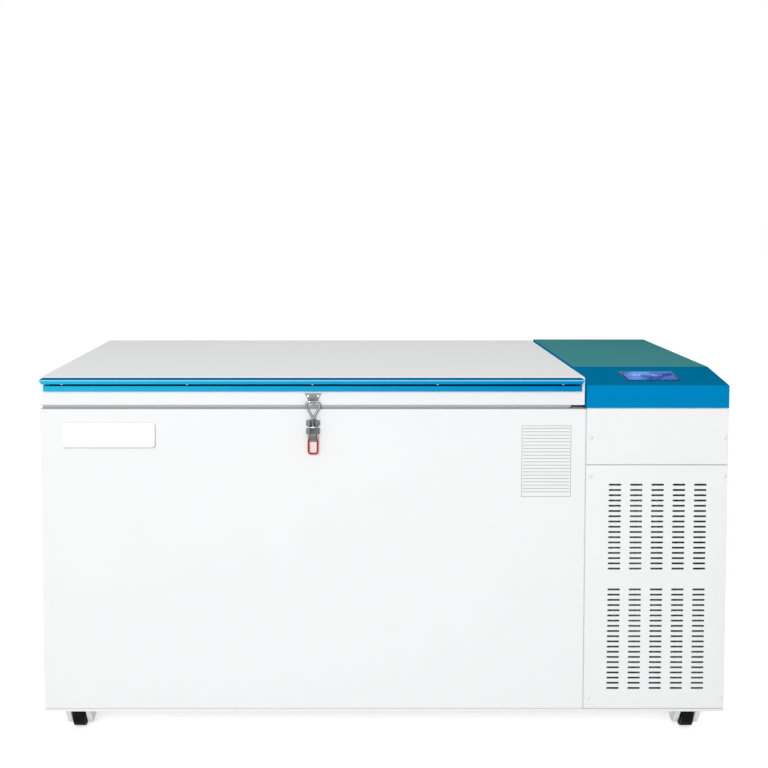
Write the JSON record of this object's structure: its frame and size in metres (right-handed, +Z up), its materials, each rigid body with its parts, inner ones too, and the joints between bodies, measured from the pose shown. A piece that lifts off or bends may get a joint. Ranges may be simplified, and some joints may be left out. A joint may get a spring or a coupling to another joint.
{
  "type": "chest ultra low temperature freezer",
  "caption": "Wide white chest freezer on casters with a hinged insulated lid, blue handle trim, toggle latch and a slotted machine housing under a blue control hood.",
  "frame": {"origin": "floor point under the centre of the whole freezer", "axes": "+X to the right as seen from the front, the front faces -Y, +Z up"},
  "size_m": [1.98, 0.949, 1.076],
  "materials": {
    "white_paint": "satin powder coat",
    "blue_paint": "gloss lacquer",
    "foam": "rigid foam",
    "tank_steel": "satin coated steel",
    "grey_plastic": "moulded, matt",
    "gasket_rubber": "soft, matt",
    "latch_steel": "brushed stainless",
    "red_coat": "dipped coating",
    "frame_steel": "galvanised",
    "black_can": "black enamel",
    "fin_aluminium": "mill finish",
    "copper_tube": "bright tube",
    "black_plastic": "moulded, matt",
    "board_green": "solder mask",
    "screen_glass": "cover glass over a lit panel",
    "caster_grey": "pressed, light grey",
    "wheel_black": "solid tyre"
  },
  "bodies": {
    "cabinet": {"chest_shell": "white_paint", "upper_front_panel": "white_paint", "grille_panel": "white_paint", "side_panel": "white_paint", "rear_panel": "white_paint", "service_plate": "white_paint", "base_pan": "white_paint", "name_plate": "white_paint", "control_hood": "blue_paint", "chest_foam": "foam", "chamber_liner": "tank_steel", "rim_breaker": "grey_plastic", "display_housing": "grey_plastic", "heat_exchanger": "grey_plastic", "latch_base": "latch_steel", "hinge_lower_leaves": "latch_steel", "caster_plates": "latch_steel", "housing_frame": "frame_steel", "electrical_box": "frame_steel", "fan_shroud": "frame_steel", "fan_motors": "frame_steel", "compressor_high": "black_can", "compressor_low": "black_can", "condenser": "fin_aluminium", "evaporator_coil": "fin_aluminium", "refrigerant_lines": "copper_tube", "power_inlet": "black_plastic", "power_switch": "black_plastic", "control_board": "board_green", "display_screen": "screen_glass"},
    "lid": {"lid_shell": "white_paint", "lid_foam": "foam", "lid_liner": "grey_plastic", "lid_gasket": "gasket_rubber", "handle_trim": "blue_paint", "trim_flange": "blue_paint", "trim_end_caps": "blue_paint", "latch_keeper": "latch_steel", "hinge_upper_leaves": "latch_steel"},
    "latch_lever": {"latch_lever": "latch_steel", "latch_grip": "red_coat"},
    "latch_loop": {"latch_loop": "latch_steel"},
    "power_rocker": {"power_rocker": "black_plastic"},
    "fan_upper": {"fan_rotor_upper": "black_plastic"},
    "fan_lower": {"fan_rotor_lower": "black_plastic"},
    "caster_front_left": {"caster_fork_front_left": "caster_grey"},
    "wheel_front_left": {"caster_wheel_front_left": "wheel_black"},
    "caster_front_right": {"caster_fork_front_right": "caster_grey"},
    "wheel_front_right": {"caster_wheel_front_right": "wheel_black"},
    "caster_rear_left": {"caster_fork_rear_left": "caster_grey"},
    "wheel_rear_left": {"caster_wheel_rear_left": "wheel_black"},
    "caster_rear_right": {"caster_fork_rear_right": "caster_grey"},
    "wheel_rear_right": {"caster_wheel_rear_right": "wheel_black"}
  },
  "joints": [
    {"name": "lid_hinge", "type": "hinge", "parent": "cabinet", "child": "lid", "pos_m": [-0.205, 0.4655, 0.985], "axis": [-1, 0, 0], "range_deg": [0, 85]},
    {"name": "latch_lever_pivot", "type": "hinge", "parent": "cabinet", "child": "latch_lever", "pos_m": [-0.205, -0.4585, 0.945], "axis": [-1, 0, 0], "range_deg": [0, 120]},
    {"name": "latch_loop_pivot", "type": "hinge", "parent": "latch_lever", "child": "latch_loop", "pos_m": [-0.205, -0.4575, 0.929], "axis": [-1, 0, 0], "range_deg": [-110, 0]},
    {"name": "power_rocker_tip", "type": "hinge", "parent": "cabinet", "child": "power_rocker", "pos_m": [0.85075, 0.4555, 0.196], "axis": [1, 0, 0], "range_deg": [-10, 10]},
    {"name": "fan_spin_upper", "type": "hinge", "parent": "cabinet", "child": "fan_upper", "pos_m": [0.78575, -0.335, 0.608], "axis": [0, 1, 0], "continuous": true},
    {"name": "fan_spin_lower", "type": "hinge", "parent": "cabinet", "child": "fan_lower", "pos_m": [0.78575, -0.335, 0.278], "axis": [0, 1, 0], "continuous": true},
    {"name": "caster_swivel_front_left", "type": "hinge", "parent": "cabinet", "child": "caster_front_left", "pos_m": [-0.91, -0.3615, 0.09], "axis": [0, 0, 1], "continuous": true},
    {"name": "wheel_roll_front_left", "type": "hinge", "parent": "caster_front_left", "child": "wheel_front_left", "pos_m": [-0.91, -0.3335, 0.0375], "axis": [1, 0, 0], "continuous": true},
    {"name": "caster_swivel_front_right", "type": "hinge", "parent": "cabinet", "child": "caster_front_right", "pos_m": [0.91, -0.3615, 0.09], "axis": [0, 0, 1], "continuous": true},
    {"name": "wheel_roll_front_right", "type": "hinge", "parent": "caster_front_right", "child": "wheel_front_right", "pos_m": [0.91, -0.3335, 0.0375], "axis": [1, 0, 0], "continuous": true},
    {"name": "caster_swivel_rear_left", "type": "hinge", "parent": "cabinet", "child": "caster_rear_left", "pos_m": [-0.91, 0.3685, 0.09], "axis": [0, 0, 1], "continuous": true},
    {"name": "wheel_roll_rear_left", "type": "hinge", "parent": "caster_rear_left", "child": "wheel_rear_left", "pos_m": [-0.91, 0.3965, 0.0375], "axis": [1, 0, 0], "continuous": true},
    {"name": "caster_swivel_rear_right", "type": "hinge", "parent": "cabinet", "child": "caster_rear_right", "pos_m": [0.91, 0.3685, 0.09], "axis": [0, 0, 1], "continuous": true},
    {"name": "wheel_roll_rear_right", "type": "hinge", "parent": "caster_rear_right", "child": "wheel_rear_right", "pos_m": [0.91, 0.3965, 0.0375], "axis": [1, 0, 0], "continuous": true}
  ],
  "couplings": [
    {"joint": "latch_loop_pivot", "follows": "latch_lever_pivot", "ratio": -0.9}
  ]
}
